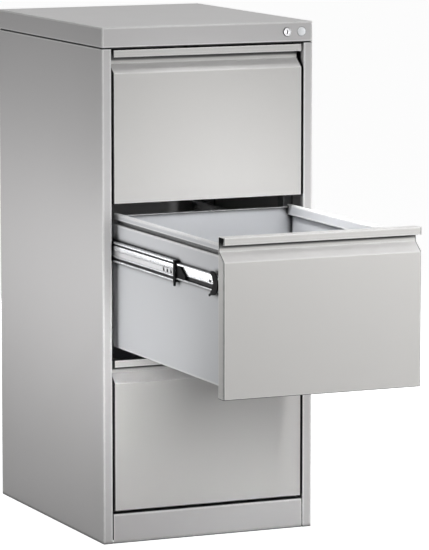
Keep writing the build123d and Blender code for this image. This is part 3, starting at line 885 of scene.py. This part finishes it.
def ball_cages(i, side):
    """Balls of one slide side and the strips that hold them, carried by the middle member."""
    node = f"slide_{i}_middle_{side}"
    front, back, axis, across = member_frame(node, side == "left")
    centre = across(middle_width / 2)
    cabinet_height, drawer_height = middle_half + ball_height, drawer_half + ball_height
    cabinet_first, drawer_first = back - cabinet_balls * ball_spacing, front + first_ball
    balls = grown(f"slide_{i}_balls_{side}", ball_rows, Radius=ball_radius, Spacing=ball_spacing,
                  Material=ball_steel,
                  Cabinet_Side_Balls=cabinet_balls, Drawer_Side_Balls=drawer_balls,
                  Cabinet_Side_First_Ball=(centre, cabinet_first, axis),
                  Drawer_Side_First_Ball=(centre, drawer_first, axis),
                  Cabinet_Side_Height=cabinet_height, Drawer_Side_Height=drawer_height)
    joined = bmesh.new()
    for height, first, count in ((cabinet_height, cabinet_first, cabinet_balls),
                                 (drawer_height, drawer_first, drawer_balls)):
        for sign in (1, -1):
            strip = cage_strip("strip", centre, axis + sign * height, first, count)
            joined.from_mesh(strip.data)
            bpy.data.objects.remove(strip)
    name = f"slide_{i}_cages_{side}"
    cages = plain(link(name, mesh_of(name, joined), cage_steel))
    for piece in (balls, cages):
        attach(piece, f"{node}_body")


for i in (1, 2, 3):
    for side in ("left", "right"):
        middle_member(i, side)
        drawer_member(i, side)
        ball_cages(i, side)


# ---------------------------------------------------------------- lock and disc
def round_node(node):
    """Middle (x, z), outer radius, front and back of a round node."""
    low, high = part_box(node)
    return ((low.x + high.x) / 2, (low.z + high.z) / 2), (high.x - low.x) / 2, low.y, high.y


def lock_housing():
    """Turned housing: bevelled bezel with a fine groove in its face, threaded barrel, bore."""
    centre, rim, front, back = round_node("lock_housing")
    flange_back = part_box("top_cover")[0].y
    profile = [(lock_bore, front + bore_bevel), (lock_bore + bore_bevel, front)]
    profile += [(radius * mm, front + depth * mm) for radius, depth in bezel_groove_radii]
    profile += [(rim - inward * mm, front + depth * mm) for inward, depth in bezel_rim_inward]
    profile += [(rim, flange_back), (lock_barrel, flange_back)]
    thread = flange_back + thread_from
    while thread + thread_pitch < back - thread_to:
        profile += [(lock_barrel, thread), (lock_barrel - thread_depth, thread + thread_pitch / 2)]
        thread += thread_pitch
    profile += [(lock_barrel, thread), (lock_barrel, back - barrel_bevel),
                (lock_barrel - barrel_bevel, back), (lock_bore, back)]

    # the rim and the bore take the near-black nickel: painted shade
    def finish_of(radius):
        on_rim, in_bore = radius > rim - 0.2 * mm, radius < lock_bore + 0.1 * mm
        return 1 if on_rim or in_bore else 0

    piece = turned("lock_housing_turned", profile, centre, (materials["chrome"], nickel_wall),
                   finish_of)
    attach(piece, "cabinet")
    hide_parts("lock_housing")


def blank_disc():
    """Plain disc with a rolled rim and a slightly hollow face."""
    centre, rim, front, back = round_node("blank_disc")
    profile = [(radius * mm, front + depth * mm) for radius, depth in disc_face_radii]
    profile += [(rim - inward * mm, front + depth * mm) for inward, depth in disc_rim_inward]
    profile += [(rim, back), (0, back)]
    piece = turned("blank_disc_turned", profile, centre, (materials["disc"],))
    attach(piece, "cabinet")
    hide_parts("blank_disc")


lock_housing()
blank_disc()


# ---------------------------------------------------------------- floor, background, light, camera
ambient_light = 0.15
floor_tone = 0.45
floor_glow = 0.92            # to the eye
floor_sheen = 0.15           # in reflections
floor_half = 30.0            # half the floor's side
floor_gap = 0.2 * mm         # below the cabinet's foot
lamps = (
    # name, place, aim, width, height, power, and the spread in degrees of a narrow one
    ("side_strip", (-0.75, 0.05, 0.52), (0.0, 0.05, 0.55), 1.2, 0.1, 2.95),
    ("beside_drawer", (-0.75, -0.95, 0.75), (-0.2, -0.72, 0.5), 0.3, 0.3, 0.8),
    ("beside_slide", (-0.75, -0.35, 0.75), (-0.2, -0.5, 0.5), 0.3, 0.3, 0.04, 60.0),
    ("stile_spot", (-0.36, -1.15, 0.36), (-0.235, -0.30, 0.36), 0.05, 0.35, 0.18, 28.0),
    ("narrow_key", (0.32, -2.2, 0.775), (0.0, -0.3, 0.35), 0.05, 0.4, 8.0),
    ("high_key", (0.336, -2.4, 1.20), (0.0, -0.3, 0.35), 0.05, 0.5, 5.6),
    ("upper_right_fill", (0.75, -1.25, 0.76), (0.1, -0.3, 0.7), 0.25, 0.15, 1.6),
    ("foot_spot", (0.6, -1.9, 0.12), (0.1, -0.3, 0.05), 0.3, 0.1, 0.12, 24.0),
    ("overhead", (0.0, -0.3, 2.8), (0.0, -0.3, 0.5), 1.6, 1.6, 14.0),
    ("into_drawer", (0.05, -1.05, 1.25), (0.0, -0.4, 0.6), 0.4, 0.3, 0.33, 50.0),
    ("across_drawer", (-0.5, -0.6, 1.6), (0.2, -0.5, 0.55), 0.25, 0.25, 0.6, 30.0),
    ("right_softbox", (2.6, 0.55, 1.0), (0.2, 0.1, 0.5), 1.2, 1.2, 34.0),
    ("back_softbox", (0.3, 3.1, 0.6), (0.0, 0.2, 0.5), 1.4, 1.0, 46.0),
)


def build_floor():
    """A wide pale floor that keeps the cabinet's soft shadow."""
    material = bpy.data.materials.new("pale_floor")
    material.use_nodes = True
    tree = material.node_tree
    tree.nodes.clear()
    matt = add(tree, "ShaderNodeBsdfDiffuse")
    feed(tree, matt.inputs["Color"], (floor_tone, floor_tone, floor_tone, 1))
    path = add(tree, "ShaderNodeLightPath").outputs
    glow = add(tree, "ShaderNodeEmission")
    sheen = times(tree, path["Is Glossy Ray"], floor_sheen)
    seen = times(tree, path["Is Camera Ray"], floor_glow)
    feed(tree, glow.inputs["Strength"], math_node(tree, "MAXIMUM", seen, sheen))
    both = add(tree, "ShaderNodeAddShader")
    tree.links.new(matt.outputs[0], both.inputs[0])
    tree.links.new(glow.outputs[0], both.inputs[1])
    output = add(tree, "ShaderNodeOutputMaterial")
    tree.links.new(both.outputs[0], output.inputs["Surface"])
    mesh = bpy.data.meshes.new("floor")
    corners = [(x * floor_half, y * floor_half, 0) for x, y in ((-1, -1), (1, -1), (1, 1), (-1, 1))]
    mesh.from_pydata(corners, [], [(0, 1, 2, 3)])
    floor = link("floor", mesh, material)
    floor.location.z = cad_box[0][2] - floor_gap


def build_world():
    """White to the eye and in reflections, a plain level of light on the cabinet."""
    world = bpy.data.worlds.new("studio")
    world.use_nodes = True
    tree = world.node_tree
    tree.nodes.clear()
    path = add(tree, "ShaderNodeLightPath").outputs
    seen = math_node(tree, "MAXIMUM", path["Is Camera Ray"], path["Is Transmission Ray"])
    seen = math_node(tree, "MAXIMUM", seen, path["Is Glossy Ray"])
    background = add(tree, "ShaderNodeBackground")
    feed(tree, background.inputs["Strength"], remap(tree, seen, 0, 1, ambient_light, 1.0))
    output = add(tree, "ShaderNodeOutputWorld")
    tree.links.new(background.outputs[0], output.inputs["Surface"])
    bpy.context.scene.world = world


def softbox(name, place, aim, width, height, power, spread=180.0):
    """A soft rectangular lamp that the camera doesn't see."""
    lamp = bpy.data.lights.new(name, "AREA")
    lamp.shape = "RECTANGLE"
    lamp.size = width
    lamp.size_y = height
    lamp.energy = power
    lamp.spread = math.radians(spread)
    holder = link(name, lamp)
    holder.location = place
    holder.rotation_euler = (Vector(aim) - Vector(place)).to_track_quat("-Z", "Y").to_euler()
    holder.visible_camera = False


def build_camera(aim, distance, azimuth, elevation, lens):
    """A long lens on the left of the cabinet's front, a little above its middle."""
    camera = bpy.data.cameras.new("camera")
    camera.sensor_width = 36.0
    camera.lens = lens
    camera.clip_end = 200.0
    holder = link("camera", camera)
    turn, lift = math.radians(azimuth), math.radians(elevation)
    toward = Vector((math.sin(turn) * math.cos(lift), math.cos(turn) * math.cos(lift),
                     -math.sin(lift)))
    holder.location = Vector(aim) - toward * distance
    holder.rotation_euler = toward.to_track_quat("-Z", "Y").to_euler()
    bpy.context.scene.camera = holder


build_floor()
build_world()
for lamp in lamps:
    softbox(*lamp)
build_camera(aim=(0.0130, -0.29, 0.5348), distance=7.719, azimuth=23.79, elevation=7.94, lens=250.1)
bpy.context.scene.view_settings.view_transform = "Standard"
